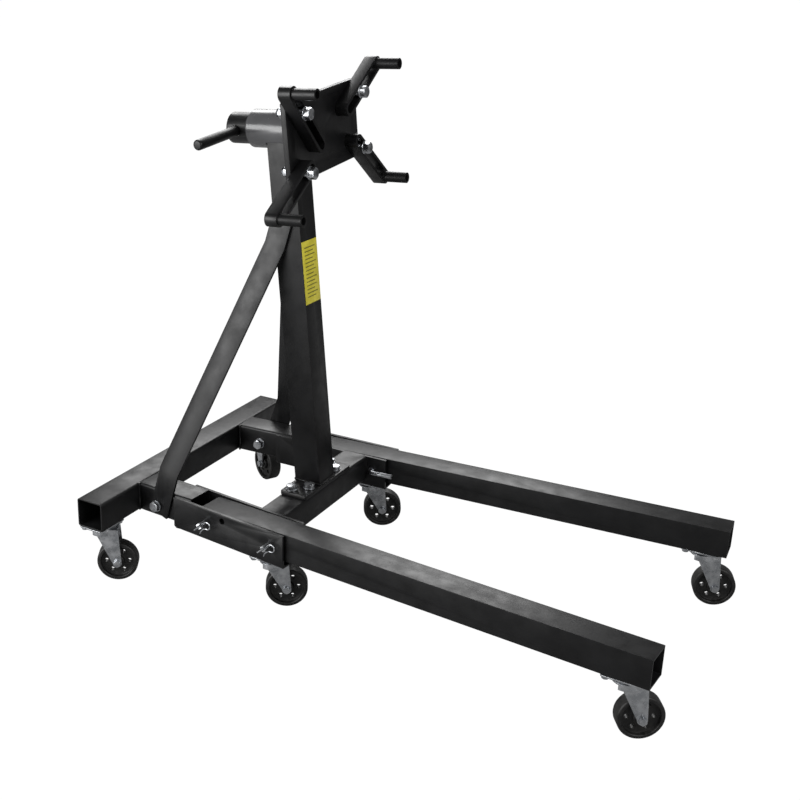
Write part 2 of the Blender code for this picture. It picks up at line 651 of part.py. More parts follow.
make_rear_cross_tube()
make_front_cross_tube()
make_upright()
make_sleeve()
for label, hand in SIDES.items():
    make_channel(f"leg_channel_{label}", hand)
    make_brace(f"brace_{label}", hand)
    make_brace_bolt(f"brace_bolt_{label}", hand)
    make_leg(f"leg_{label}", hand)
    make_pin(f"pivot_pin_{label}", hand, PIVOT_U, math.radians(-90))
    make_pin(f"lock_pin_{label}", hand, LOCK_U, math.radians(0))
    make_clip(f"pivot_clip_{label}", hand, PIVOT_U)
    make_clip(f"lock_clip_{label}", hand, LOCK_U)
make_casters()
make_head()
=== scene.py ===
# %% [markdown]
# # A folding engine stand
# The stand is a welded square-tube frame on six casters, two legs that pin into U channels, a leaning
# upright and a head that turns in a sleeve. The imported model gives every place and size. This script adds
# what the eye sees up close: rounded tube corners, weld beads, bolts, casters and the finishes.

import json
import math

import bpy
from mathutils import Matrix, Vector

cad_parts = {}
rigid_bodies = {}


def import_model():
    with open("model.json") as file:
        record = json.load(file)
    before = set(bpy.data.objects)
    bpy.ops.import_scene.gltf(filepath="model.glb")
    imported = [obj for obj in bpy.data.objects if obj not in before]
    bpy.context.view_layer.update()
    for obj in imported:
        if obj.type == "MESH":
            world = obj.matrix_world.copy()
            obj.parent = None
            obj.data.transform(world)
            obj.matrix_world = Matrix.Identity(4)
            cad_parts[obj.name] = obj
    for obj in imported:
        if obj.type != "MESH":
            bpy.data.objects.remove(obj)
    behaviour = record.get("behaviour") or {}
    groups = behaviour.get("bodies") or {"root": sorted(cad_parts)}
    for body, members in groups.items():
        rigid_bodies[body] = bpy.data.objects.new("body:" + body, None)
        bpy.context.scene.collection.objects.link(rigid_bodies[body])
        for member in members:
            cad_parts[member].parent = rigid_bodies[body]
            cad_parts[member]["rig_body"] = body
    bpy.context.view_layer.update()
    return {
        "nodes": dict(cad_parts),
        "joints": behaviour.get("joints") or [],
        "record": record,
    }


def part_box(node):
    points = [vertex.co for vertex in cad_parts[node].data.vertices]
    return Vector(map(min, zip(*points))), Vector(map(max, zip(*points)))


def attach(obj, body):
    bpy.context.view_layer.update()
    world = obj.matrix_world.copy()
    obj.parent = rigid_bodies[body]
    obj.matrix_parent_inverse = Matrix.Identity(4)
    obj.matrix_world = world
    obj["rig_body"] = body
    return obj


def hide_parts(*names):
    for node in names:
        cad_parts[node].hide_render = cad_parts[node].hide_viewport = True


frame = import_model()
NODES = frame["nodes"]
JOINTS = {joint["name"]: joint for joint in frame["joints"]}
MM = 0.001
REAR_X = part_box("rear_cross_tube")[0].x
print("frame", len(NODES), "nodes, rear face at", round(REAR_X, 4))


# %% [markdown]
# Materials are node trees. One helper adds a node with its settings and links, so each finish reads as a
# short recipe. Colours are written as the hex values a paint chart gives, and one function makes them linear.

# %% Node and colour helpers
def linear(hex_colour):
    """An sRGB hex colour as the linear values Blender's shaders work in."""
    parts = [int(hex_colour[k : k + 2], 16) / 255 for k in (1, 3, 5)]
    return (*[c / 12.92 if c <= 0.04045 else ((c + 0.055) / 1.055) ** 2.4 for c in parts], 1)


def add_node(tree, kind, settings=None, links=None):
    """Adds a node: settings go to its inputs or its own properties, links name the sockets that feed it."""
    made = tree.nodes.new(kind)
    for name, value in (settings or {}).items():
        if name in made.inputs:
            made.inputs[name].default_value = value
        else:
            setattr(made, name, value)
    for name, socket in (links or {}).items():
        tree.links.new(socket, made.inputs[name])
    return made


def new_finish(name):
    """An empty material with a Principled shader, and the object's own coordinates."""
    finish = bpy.data.materials.new(name)
    finish.use_nodes = True
    tree = finish.node_tree
    shader = tree.nodes["Principled BSDF"]
    place = add_node(tree, "ShaderNodeTexCoord").outputs["Object"]
    return finish, tree, shader, place


def noise(tree, place, size_mm, detail=3.0):
    """Noise whose blotches are about size_mm across."""
    settings = {"Scale": 1000 / size_mm, "Detail": detail}
    return add_node(tree, "ShaderNodeTexNoise", settings, {"Vector": place})


def spread(tree, value, low, high):
    """Maps noise, which stays near 0.5, onto a range."""
    settings = {"From Min": 0.32, "From Max": 0.68, "To Min": low, "To Max": high}
    return add_node(tree, "ShaderNodeMapRange", settings, {"Value": value}).outputs["Result"]


def tint(tree, value, dark, light):
    """A colour between two hex colours."""
    ramp = add_node(tree, "ShaderNodeValToRGB", None, {"Fac": value})
    ramp.color_ramp.elements[0].position = 0.36
    ramp.color_ramp.elements[0].color = linear(dark)
    ramp.color_ramp.elements[1].position = 0.66
    ramp.color_ramp.elements[1].color = linear(light)
    return ramp.outputs["Color"]


def bumped(tree, shader, height, strength, depth_mm):
    settings = {"Strength": strength, "Distance": depth_mm * MM}
    bump = add_node(tree, "ShaderNodeBump", settings, {"Height": height})
    tree.links.new(bump.outputs["Normal"], shader.inputs["Normal"])


# %% [markdown]
# The frame is mild steel with a semi-gloss black powder coat. Powder melts into a skin with a fine orange
# peel, so the reflections are soft and slightly broken. The peel is about 1 mm across on the real coat, and
# it is drawn at 2.5 mm so that it shows. Handling leaves patches that are duller, and in larger patches of
# its own the tone drifts a little lighter and darker.

# %% Black powder coat
def make_powder_coat(name, dark, light, rough_low, rough_high, gloss):
    finish, tree, shader, place = new_finish(name)
    patches = noise(tree, place, 60, 4.0)
    tree.links.new(tint(tree, patches.outputs["Fac"], dark, light), shader.inputs["Base Color"])
    rubbed = noise(tree, place, 28, 5.0)
    tree.links.new(spread(tree, rubbed.outputs["Fac"], rough_low, rough_high), shader.inputs["Roughness"])
    peel = noise(tree, place, 2.5, 2.0)
    bumped(tree, shader, peel.outputs["Fac"], 0.25, 0.05)
    shader.inputs["IOR"].default_value = gloss
    return finish


BLACK_COAT = make_powder_coat("black_powder_coat", "#0b0b0c", "#151516", 0.34, 0.5, 1.42)
GREY_COAT = make_powder_coat("grey_gloss_coat", "#4e4e50", "#5a5a5c", 0.18, 0.28, 1.6)
print("coats made")

# %% [markdown]
# Bolts, pins, clips and caster forks are bright zinc plated. Barrel plating leaves a satin metal with tiny
# scratches and faint cloudy patches, so the roughness varies more than the colour does.


# %% Zinc plating
def make_zinc():
    finish, tree, shader, place = new_finish("bright_zinc_plating")
    cloud = noise(tree, place, 14, 4.0)
    tree.links.new(tint(tree, cloud.outputs["Fac"], "#b4b7bb", "#d9dbde"), shader.inputs["Base Color"])
    tree.links.new(spread(tree, cloud.outputs["Fac"], 0.2, 0.38), shader.inputs["Roughness"])
    scratch = noise(tree, place, 1.2, 3.0)
    bumped(tree, shader, scratch.outputs["Fac"], 0.15, 0.04)
    shader.inputs["Metallic"].default_value = 1.0
    return finish


ZINC = make_zinc()


# %% [markdown]
# The wheels are moulded black polymer: a smooth satin skin that picks up dust and fine scuffs on its tread.

# %% Wheel polymer
def make_wheel_polymer():
    finish, tree, shader, place = new_finish("moulded_wheel_polymer")
    scuff = noise(tree, place, 6, 5.0)
    tree.links.new(tint(tree, scuff.outputs["Fac"], "#0d0d0d", "#1c1b1a"), shader.inputs["Base Color"])
    tree.links.new(spread(tree, scuff.outputs["Fac"], 0.38, 0.62), shader.inputs["Roughness"])
    grain = noise(tree, place, 0.9, 2.0)
    bumped(tree, shader, grain.outputs["Fac"], 0.2, 0.05)
    return finish


def make_vinyl(name, dark, light):
    """Printed vinyl: a smooth film with a faint unevenness where it follows the coat below."""
    finish, tree, shader, place = new_finish(name)
    wave = noise(tree, place, 20, 2.0)
    tree.links.new(tint(tree, wave.outputs["Fac"], dark, light), shader.inputs["Base Color"])
    tree.links.new(spread(tree, wave.outputs["Fac"], 0.32, 0.45), shader.inputs["Roughness"])
    bumped(tree, shader, wave.outputs["Fac"], 0.1, 0.05)
    return finish


POLYMER = make_wheel_polymer()
YELLOW_VINYL = make_vinyl("yellow_vinyl", "#dccf3c", "#efe24e")
GREY_PRINT = make_vinyl("grey_print", "#7d7728", "#8c8530")
print("finishes made")

# %% [markdown]
# Every new piece ends at the origin, unturned and unscaled, with its place in its mesh. These helpers keep
# one object active, pick parts of its mesh by a test, apply a modifier, and finish a piece off.


# %% Modelling helpers
def activate(piece):
    bpy.ops.object.select_all(action="DESELECT")
    piece.select_set(True)
    bpy.context.view_layer.objects.active = piece


def edit(piece, mode="EDGE"):
    """Goes into edit mode with nothing selected."""
    activate(piece)
    bpy.ops.object.mode_set(mode="EDIT")
    bpy.ops.mesh.select_mode(type=mode)
    bpy.ops.mesh.select_all(action="DESELECT")
    bpy.ops.object.mode_set(mode="OBJECT")


def fold_angles(piece):
    """How far the two faces at each edge turn away from each other, by the edge's pair of points."""
    normals = {}
    for face in piece.data.polygons:
        for key in face.edge_keys:
            normals.setdefault(key, []).append(face.normal.copy())
    return {key: pair[0].angle(pair[1], 0) for key, pair in normals.items() if len(pair) == 2}


def pick_edges(piece, test, sharper_than=0):
    """Selects the edges that pass test(start, end) and whose faces turn by enough, and says how many."""
    edit(piece, "EDGE")
    points = [vert.co for vert in piece.data.vertices]
    angles = fold_angles(piece)
    limit = math.radians(sharper_than)
    found = 0
    for edge in piece.data.edges:
        sharp = angles.get(tuple(sorted(edge.vertices)), 0) >= limit
        edge.select = bool(sharp and test(points[edge.vertices[0]], points[edge.vertices[1]]))
        found += edge.select
    return found


def pick_faces(piece, test):
    """Selects the faces for which test(centre, normal) holds."""
    edit(piece, "FACE")
    found = 0
    for face in piece.data.polygons:
        face.select = bool(test(face.center, face.normal))
        found += face.select
    return found


def in_edit(piece, operator, **settings):
    """Runs one edit-mode operator on what is selected."""
    activate(piece)
    bpy.ops.object.mode_set(mode="EDIT")
    operator(**settings)
    bpy.ops.object.mode_set(mode="OBJECT")


def modified(piece, kind, **settings):
    """Adds a modifier and applies it."""
    activate(piece)
    added = piece.modifiers.new(kind.lower(), kind)
    for name, value in settings.items():
        setattr(added, name, value)
    bpy.ops.object.modifier_apply(modifier=added.name)


def soften(piece, width_mm, segments=2, sharper_than=35):
    """Rounds every edge sharper than an angle, which is what gives steel its bright corner lines."""
    limit = math.radians(sharper_than)
    modified(piece, "BEVEL", width=width_mm * MM, segments=segments, limit_method="ANGLE", angle_limit=limit)


def finished(piece, finish, body, nodes=(), smooth=32):
    """Shades a piece, gives it its finish and hands it to the frame."""
    activate(piece)
    bpy.ops.object.transform_apply(location=True, rotation=True, scale=True)
    in_edit(piece, bpy.ops.mesh.select_all, action="SELECT")
    in_edit(piece, bpy.ops.mesh.normals_make_consistent, inside=False)
    bpy.ops.object.shade_smooth_by_angle(angle=math.radians(smooth))
    piece.data.materials.clear()
    piece.data.materials.append(finish)
    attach(piece, body)
    if nodes:
        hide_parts(*nodes)
    return piece


def put(piece, place):
    """Moves a piece's mesh by a matrix, so its object stays at the origin."""
    piece.data.transform(place)
    piece.data.update()


def copied(piece, name, place):
    """A copy with its own mesh, in another place."""
    twin = piece.copy()
    twin.data = piece.data.copy()
    twin.name = name
    bpy.context.scene.collection.objects.link(twin)
    put(twin, place)
    return twin


def cylinder(name, radius, low, high, sides=32, axis="Z"):
    """A round bar between two levels along an axis, its mesh already in place."""
    bpy.ops.object.select_all(action="DESELECT")
    bpy.ops.mesh.primitive_cylinder_add(vertices=sides, radius=radius, depth=high - low, location=(0, 0, 0))
    piece = bpy.context.active_object
    piece.name = name
    put(piece, Matrix.Translation((0, 0, (low + high) / 2)))
    if axis == "Y":
        put(piece, Matrix.Rotation(math.radians(-90), 4, "X"))
    if axis == "X":
        put(piece, Matrix.Rotation(math.radians(90), 4, "Y"))
    return piece


def cuboid(name, low, high):
    bpy.ops.object.select_all(action="DESELECT")
    bpy.ops.mesh.primitive_cube_add(size=1, location=(0, 0, 0))
    piece = bpy.context.active_object
    piece.name = name
    low, high = Vector(low), Vector(high)
    size = high - low
    put(piece, Matrix.Translation((low + high) / 2) @ Matrix.Diagonal((*size, 1)))
    return piece


def carve(piece, tool, operation="DIFFERENCE"):
    """Cuts a tool away from a piece, or adds it, and removes the tool."""
    modified(piece, "BOOLEAN", operation=operation, solver="EXACT", object=tool)
    bpy.data.objects.remove(tool)


def joined(pieces, name):
    """Joins pieces into one object."""
    activate(pieces[0])
    for piece in pieces[1:]:
        piece.select_set(True)
    bpy.ops.object.join()
    pieces[0].name = name
    return pieces[0]


# %% [markdown]
# Most steel pieces are already the right shape in the frame, but with corners as sharp as a knife. Each is
# copied, its loose triangles are merged into clean faces, and its edges are rounded. Square tube has a corner
# radius about its wall thickness, so its long edges get a bigger radius than its sawn ends.


# %% Copies of frame pieces
def reworked(node, name):
    """A merged copy of a frame piece's mesh, with flat areas dissolved into single faces."""
    piece = bpy.data.objects.new(name, NODES[node].data.copy())
    bpy.context.scene.collection.objects.link(piece)
    in_edit(piece, bpy.ops.mesh.select_all, action="SELECT")
    in_edit(piece, bpy.ops.mesh.remove_doubles, threshold=0.02 * MM)
    in_edit(piece, bpy.ops.mesh.select_all, action="SELECT")
    in_edit(piece, bpy.ops.mesh.dissolve_limited, angle_limit=math.radians(0.6))
    return piece


def runs_along(direction, shortest):
    """A test for edges along a direction, longer than a length."""
    unit = Vector(direction).normalized()

    def test(start, end):
        run = end - start
        return run.length > shortest and abs(run.normalized().dot(unit)) > 0.9995

    return test


def round_long_edges(piece, direction, radius_mm, shortest_mm=40):
    found = pick_edges(piece, runs_along(direction, shortest_mm * MM), 60)
    in_edit(piece, bpy.ops.mesh.bevel, offset=radius_mm * MM, segments=4, affect="EDGES", clamp_overlap=True)
    print(piece.name, "long edges rounded:", found)


def body_of(node):
    return NODES[node]["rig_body"]


# %% [markdown]
# The base is three square tubes and two U channels pressed from plate. The rear tube and its two stubs are
# drawn as three tubes, because they are: the weld between them hides where one stops.

# %% Rails, stubs and the rear cross tube
TUBE = 60 * MM
TUBE_WALL_MM = 3
CORNER_MM = 5
PIVOT_U = 176 * MM
STUB_LENGTH = 135 * MM
SIDES = {"left": 1, "right": -1}
UP = Vector((0, 0, 1))


def axes_at(place, along, across):
    """A frame with X along one direction and Y across another."""
    x, y = Vector(along).normalized(), Vector(across).normalized()
    return Matrix.Translation(place) @ Matrix((x, y, x.cross(y))).transposed().to_4x4()


def rail_frame(side):
    """X along the rail from the cross tube's front face, Z from the floor."""
    fold = JOINTS[f"leg_{side}_fold"]
    across = -Vector(fold["axis"])
    along = across.cross(UP)
    start = Vector(fold["pos_m"]) - along * PIVOT_U
    start.z = 0
    return axes_at(start, along, across)


def square_tube(name, length, place, width=TUBE, height=TUBE):
    """An open tube with rounded corners: X runs from 0 to length."""
    piece = cuboid(name, (0, -width / 2, -height / 2), (length, width / 2, height / 2))
    pick_faces(piece, lambda centre, normal: abs(normal.x) > 0.9)
    in_edit(piece, bpy.ops.mesh.delete, type="FACE")
    round_long_edges(piece, (1, 0, 0), CORNER_MM)
    modified(piece, "SOLIDIFY", thickness=TUBE_WALL_MM * MM, offset=-1)
    soften(piece, 0.5, 2, 60)
    put(piece, place)
    return piece


cross_low, cross_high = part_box("rear_cross_tube")
CROSS_Z = cross_high.z - TUBE / 2
turn = axes_at((REAR_X + TUBE / 2, cross_low.y, CROSS_Z), (0, 1, 0), (-1, 0, 0))
rear_tube = square_tube("rear_tube", cross_high.y - cross_low.y, turn)
finished(rear_tube, BLACK_COAT, "base", ["rear_cross_tube"])
for side in SIDES:
    place = rail_frame(side) @ Matrix.Translation((0, 0, CROSS_Z))
    stub = square_tube(f"rail_stub_{side}", STUB_LENGTH, place)
    finished(stub, BLACK_COAT, "base", ["rear_cross_tube"])
print("rear tube and stubs made")

# %% Channels, legs, front tube and upright
LEAN = math.radians(6.1)
BEND_MM = 6
for side in SIDES:
    along = rail_frame(side).to_3x3() @ Vector((1, 0, 0))
    channel = reworked(f"leg_channel_{side}", f"channel_{side}")
    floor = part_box(f"leg_channel_{side}")[0].z + 12 * MM

    def outer_bottom(start, end, along=along, floor=floor):
        run = end - start
        level = (start.z + end.z) / 2 < floor - 3 * MM
        return level and run.length > 40 * MM and abs(run.normalized().dot(along)) > 0.999

    pick_edges(channel, outer_bottom)
    in_edit(channel, bpy.ops.mesh.bevel, offset=BEND_MM * MM, segments=4, affect="EDGES", clamp_overlap=True)
    soften(channel, 0.8)
    finished(channel, BLACK_COAT, "base", [f"leg_channel_{side}"])
    leg = reworked(f"leg_{side}", f"leg_tube_{side}")
    round_long_edges(leg, along, 4)
    soften(leg, 0.5, 2, 60)
    finished(leg, BLACK_COAT, f"leg_{side}", [f"leg_{side}"])
    brace = reworked(f"brace_{side}", f"brace_bar_{side}")
    soften(brace, 1.2)
    finished(brace, BLACK_COAT, "base", [f"brace_{side}"])
front_tube = reworked("front_cross_tube", "front_tube")
round_long_edges(front_tube, (0, 1, 0), CORNER_MM)
finished(front_tube, BLACK_COAT, "base", ["front_cross_tube"])
upright = reworked("upright_tube", "upright_post")
UPRIGHT_AXIS = Vector((-math.sin(LEAN), 0, math.cos(LEAN)))
round_long_edges(upright, UPRIGHT_AXIS, CORNER_MM, 300)
soften(upright, 0.5, 2, 60)
finished(upright, BLACK_COAT, "base", ["upright_tube"])
foot_plate = reworked("upright_base_plate", "foot_plate")
round_long_edges(foot_plate, (0, 0, 1), 4, 6)
soften(foot_plate, 1)
finished(foot_plate, BLACK_COAT, "base", ["upright_base_plate"])

# %% [markdown]
# The head is a shaft in a sleeve, with a thick plate on its front. Its arms are bars with a long slot, and
# each carries a peg tube that an engine block bolts to. They are built from round bars and a block, joined
# and then cut by a slot and a bore, as a machinist would do it.

# %% Head
HEAD = JOINTS["head_turn"]
HEAD_X = Vector(HEAD["axis"])
HEAD_Y = Vector(JOINTS["handle_bar_slide"]["axis"])
HEAD_FRAME = axes_at(HEAD["pos_m"], HEAD_X, HEAD_Y)
sleeve = reworked("head_sleeve", "sleeve")
soften(sleeve, 0.8)
finished(sleeve, GREY_COAT, "base", ["head_sleeve"])
shaft = reworked("head_shaft", "shaft")
soften(shaft, 0.8, 2, 50)
finished(shaft, BLACK_COAT, "head", ["head_shaft"])
plate = reworked("mounting_plate", "head_plate")
round_long_edges(plate, HEAD_X, 3, 8)
soften(plate, 1)
finished(plate, BLACK_COAT, "head", ["mounting_plate"])
HANDLE_RADIUS = 10 * MM
handle = cylinder("turning_bar", HANDLE_RADIUS, -156 * MM, 34 * MM, 40, "Y")
soften(handle, 4, 4)
put(handle, HEAD_FRAME @ Matrix.Translation((-177 * MM, 0, 0)))
finished(handle, BLACK_COAT, "handle_bar", ["handle_bar"], 40)

# %% Arms
ARM_DEPTH = 25 * MM
ARM_WIDTH = 28 * MM
ARM_SLOT = 17 * MM
ARM_LENGTH = 135 * MM
PEG_RADIUS = 10.5 * MM
PEG_BORE = 7 * MM
PEG_LENGTH = 72 * MM
FACE_RING = (PEG_RADIUS + PEG_BORE) / 2
GAP = 0.3 * MM
MOUNTS = {mount["name"]: mount for mount in frame["record"]["mounts"]}
ARM_NAMES = ("top_right", "bottom_right", "top_left", "bottom_left")


def arm_frame(name):
    """X out of the plate, Y along the arm towards its peg, origin on the bolt."""
    return axes_at(JOINTS[f"arm_{name}_swing"]["pos_m"], HEAD_X, JOINTS[f"arm_{name}_slide"]["axis"])


def bar_with_round_ends(name, width, low_y, high_y, low_x, high_x):
    """A block along Y whose end corners are bevelled by half its width, so that each end is a half round."""
    half = width / 2
    bar = cuboid(name, (low_x, low_y - half, -half), (high_x, high_y + half, half))
    pick_edges(bar, runs_along((1, 0, 0), half / 4))
    in_edit(bar, bpy.ops.mesh.bevel, offset=half * 0.998, segments=14, affect="EDGES", clamp_overlap=True)
    return bar


for name in ARM_NAMES:
    place = arm_frame(name)
    peg_y = (place.inverted() @ Vector(MOUNTS[f"peg_face_{name}"]["pos_m"])).y - FACE_RING
    tail = peg_y - ARM_LENGTH
    arm = bar_with_round_ends(f"slotted_arm_{name}", ARM_WIDTH, tail, peg_y, GAP, ARM_DEPTH)
    peg = cylinder("peg", PEG_RADIUS, ARM_DEPTH / 2, PEG_LENGTH, 48, "X")
    put(peg, Matrix.Translation((0, peg_y, 0)))
    carve(arm, peg, "UNION")
    slot_end = peg_y - PEG_RADIUS - ARM_SLOT / 2
    carve(arm, bar_with_round_ends("slot", ARM_SLOT, tail, slot_end, -ARM_DEPTH, 2 * ARM_DEPTH))
    bore = cylinder("bore", PEG_BORE, -ARM_DEPTH, 2 * PEG_LENGTH, 32, "X")
    put(bore, Matrix.Translation((0, peg_y, 0)))
    carve(arm, bore)
    soften(arm, 1, 2, 50)
    put(arm, place)
    finished(arm, BLACK_COAT, f"arm_{name}", [f"arm_{name}"])
print("arms made")

# %% [markdown]
# A hex bolt's head is a hexagon whose corners are turned off by a shallow cone. That is done the same way
# here: a six-sided prism is kept only where a bevelled disc overlaps it. One unit head, 1 across its flats
# and 1 high, is made once, and every bolt and nut is a scaled copy of it.


# %% Fasteners
def turned(name, profile, steps=40):
    """Spins a profile of (radius, height) points round Z."""
    mesh = bpy.data.meshes.new(name)
    points = [(radius, 0, height) for radius, height in profile]
    mesh.from_pydata(points, [(k, k + 1) for k in range(len(points) - 1)], [])
    piece = bpy.data.objects.new(name, mesh)
    bpy.context.scene.collection.objects.link(piece)
    modified(piece, "SCREW", steps=steps, render_steps=steps, angle=math.tau,
             merge_threshold=0.00001, use_merge_vertices=True)
    return piece


def unit_head():
    """A chamfered hexagon, 1 across the flats, from z = 0 to 1."""
    head = cylinder("unit_head", 1 / math.sqrt(3), 0, 1, 6)
    disc = cylinder("chamfer", 0.985 / math.sqrt(3), -0.2, 1, 48)
    pick_edges(disc, lambda start, end: start.z > 0.9 and end.z > 0.9)
    in_edit(disc, bpy.ops.mesh.bevel, offset=0.1, segments=1, affect="EDGES")
    carve(head, disc, "INTERSECT")
    return head


UNIT_HEAD = unit_head()
UNIT_HEAD.hide_render = True
UNIT_HEAD.hide_viewport = True


def hexagon(name, across, low, high):
    """A bolt head from low to high, or a nut upside down where high is below low."""
    UNIT_HEAD.hide_viewport = False
    stretch = Matrix.Diagonal((across, across, high - low, 1))
    head = copied(UNIT_HEAD, name, Matrix.Translation((0, 0, low)) @ stretch)
    UNIT_HEAD.hide_viewport = True
    head.hide_render = head.hide_viewport = False
    return head


def washer(name, outer, inner, low, high):
    edge = 0.4 * MM
    profile = [(inner, low), (outer - edge, low), (outer, low + edge),
               (outer, high - edge), (outer - edge, high), (inner, high)]
    return turned(name, profile + profile[:1])


def shank(name, radius, low, high, pitch):
    """A threaded rod: its profile rises and falls once each pitch, and both ends are chamfered."""
    depth = 0.5 * pitch
    profile = [(0, low), (radius - depth, low)]
    count = int((high - low) / pitch)
    for k in range(count):
        start = low + k * pitch
        profile += [(radius, start + 0.5 * pitch), (radius - depth, start + pitch)]
    profile += [(radius - depth, high), (0, high)]
    return turned(name, profile, 28)


def fastener(name, place, body, nodes, across, radius, head_low, head_high, nut=None):
    """A washer and head that start at head_low, a threaded shank, and a nut and washer at the far end."""
    thick = 2.5 * MM
    seat = head_low + thick
    top = [hexagon("head", across, seat, head_high), washer("washer", across * 0.62, radius, head_low, seat)]
    tip = nut[1] if nut else head_low - 12 * MM
    rod = shank("shank", radius, tip, head_low + thick, 1.5 * MM)
    parts = top + [rod]
    if nut:
        parts += [hexagon("nut", across, nut[0] - thick, nut[0] - thick - 0.6 * across)]
        parts += [washer("washer", across * 0.62, radius, nut[0] - thick, nut[0])]
    made = joined(parts, name)
    put(made, place)
    return finished(made, ZINC, body, nodes, 30)


PLATE_THICK = 10 * MM
TO_X = Matrix.Rotation(math.radians(90), 4, "Y")
for name in ARM_NAMES:
    front, back = ARM_DEPTH + GAP, -PLATE_THICK - GAP
    fastener(f"clamp_bolt_{name}", arm_frame(name) @ TO_X, f"arm_bolt_{name}", [f"arm_bolt_{name}"],
             20 * MM, 7.8 * MM, front, front + 14 * MM, (back, back - 20 * MM))
for number in (1, 2, 3, 4):
    low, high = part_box(f"base_bolt_{number}")
    middle = (low + high) / 2
    seat = high.z - 10.5 * MM
    place = Matrix.Translation((middle.x, middle.y, seat))
    fastener(f"foot_bolt_{number}", place, "base", [f"base_bolt_{number}"],
             19 * MM, 6 * MM, 0, 10.5 * MM)
for side, sign in SIDES.items():
    face = 37.5 * MM
    facing = axes_at((0, 0, 0), (1, 0, 0), (0, 0, -sign))
    place = rail_frame(side) @ Matrix.Translation((53 * MM, 0, 150 * MM)) @ facing
    fastener(f"stay_bolt_{side}", place, "base", [f"brace_bolt_{side}"],
             19 * MM, 6 * MM, face, face + 10.5 * MM, (-30.3 * MM, -40 * MM))
print("fasteners made")

# %% [markdown]
# A swivel caster is four things: a mounting plate with its ball race, a pressed fork, an axle bolt and a
# wheel. The wheel, axle and plate are modelled once and copied to the six places; the fork is built for each
# caster to the height of its own top. Fork and axle are drawn in the caster's own frame, with the kingpin at
# the origin and the axle ahead of it. The wheel is turned from its profile and drilled.

# %% Wheel
WHEEL_RADIUS = 41 * MM
WHEEL_WIDTH = 28 * MM
HOLES = 6
HOLE_RADIUS = 4.6 * MM
HOLE_RING = 23 * MM


def make_wheel():
    half, web, hub = WHEEL_WIDTH / 2, 6 * MM, 13 * MM
    crown = 3.5 * MM
    side = [(4.4 * MM, half), (hub - 1 * MM, half), (hub, half - 1 * MM), (hub + 1.5 * MM, web + 0.8 * MM)]
    side += [(hub + 3 * MM, web), (31 * MM, web), (32.5 * MM, web + 0.8 * MM), (33.5 * MM, half - 1 * MM)]
    side += [(34.2 * MM, half - 0.3 * MM), (WHEEL_RADIUS - crown, half - 0.3 * MM)]
    rounding = [math.radians(90 - 15 * step) for step in range(1, 6)]
    middle = half - 0.3 * MM - crown
    side += [(WHEEL_RADIUS - crown + crown * math.cos(a), middle + crown * math.sin(a)) for a in rounding]
    side += [(WHEEL_RADIUS, middle - 1 * MM)]
    other = [(radius, -level) for radius, level in reversed(side)]
    wheel = turned("wheel", side + other + side[:1], 72)
    in_edit(wheel, bpy.ops.mesh.select_all, action="SELECT")
    in_edit(wheel, bpy.ops.mesh.normals_make_consistent, inside=False)
    for k in range(HOLES):
        angle = math.tau * k / HOLES
        hole = cylinder("hole", HOLE_RADIUS, -WHEEL_WIDTH, WHEEL_WIDTH, 24)
        put(hole, Matrix.Translation((HOLE_RING * math.cos(angle), HOLE_RING * math.sin(angle), 0)))
        carve(wheel, hole)
    put(wheel, Matrix.Rotation(math.radians(90), 4, "X"))
    return wheel


# %% Fork, plate and axle
TRAIL = 29 * MM
FORK_HALF = 19.5 * MM
FORK_INNER = 16.5 * MM
RACE_RADIUS = 24 * MM


def make_fork(top):
    """A pressed sheet: a round crown under the race and two cheeks that narrow to the axle."""
    crown = cylinder("fork", RACE_RADIUS, top - 12 * MM, top, 48)
    cheek = cuboid("cheek", (0, -FORK_HALF, top - 12 * MM), (TRAIL + 4 * MM, FORK_HALF, top))
    carve(crown, cheek, "UNION")
    lower = cuboid("lower", (TRAIL - 9 * MM, -FORK_HALF, WHEEL_RADIUS),
                   (TRAIL + 9 * MM, FORK_HALF, top - 6 * MM))
    high = 60 * MM
    pick_edges(lower, lambda start, end: min(start.z, end.z) > high and max(start.x, end.x) < TRAIL)
    in_edit(lower, bpy.ops.transform.translate, value=(-(TRAIL - 9 * MM) - 12 * MM, 0, 0))
    pick_edges(lower, lambda start, end: min(start.z, end.z) > high and min(start.x, end.x) > TRAIL)
    in_edit(lower, bpy.ops.transform.translate, value=(-5 * MM, 0, 0))
    carve(crown, lower, "UNION")
    boss = cylinder("boss", 9 * MM, -FORK_HALF, FORK_HALF, 40, "Y")
    put(boss, Matrix.Translation((TRAIL, 0, WHEEL_RADIUS)))
    carve(crown, boss, "UNION")
    pick_edges(crown, lambda start, end: min(start.z, end.z) > top - 0.1 * MM)
    in_edit(crown, bpy.ops.mesh.bevel, offset=2.5 * MM, segments=4, affect="EDGES", clamp_overlap=True)
    carve(crown, cuboid("space", (-RACE_RADIUS * 2, -FORK_INNER, -TUBE), (TUBE, FORK_INNER, top - 3 * MM)))
    soften(crown, 0.5, 2, 40)
    return crown


def make_axle():
    half = FORK_HALF + 0.4 * MM
    head = hexagon("head", 13 * MM, half, half + 5.2 * MM)
    nut = hexagon("nut", 13 * MM, -half, -half - 5.4 * MM)
    axle = joined([head, nut, shank("axle", 4 * MM, -half - 2 * MM, half, 1.25 * MM)], "axle")
    put(axle, Matrix.Rotation(math.radians(90), 4, "X") )
    put(axle, Matrix.Translation((TRAIL, 0, WHEEL_RADIUS)))
    return axle


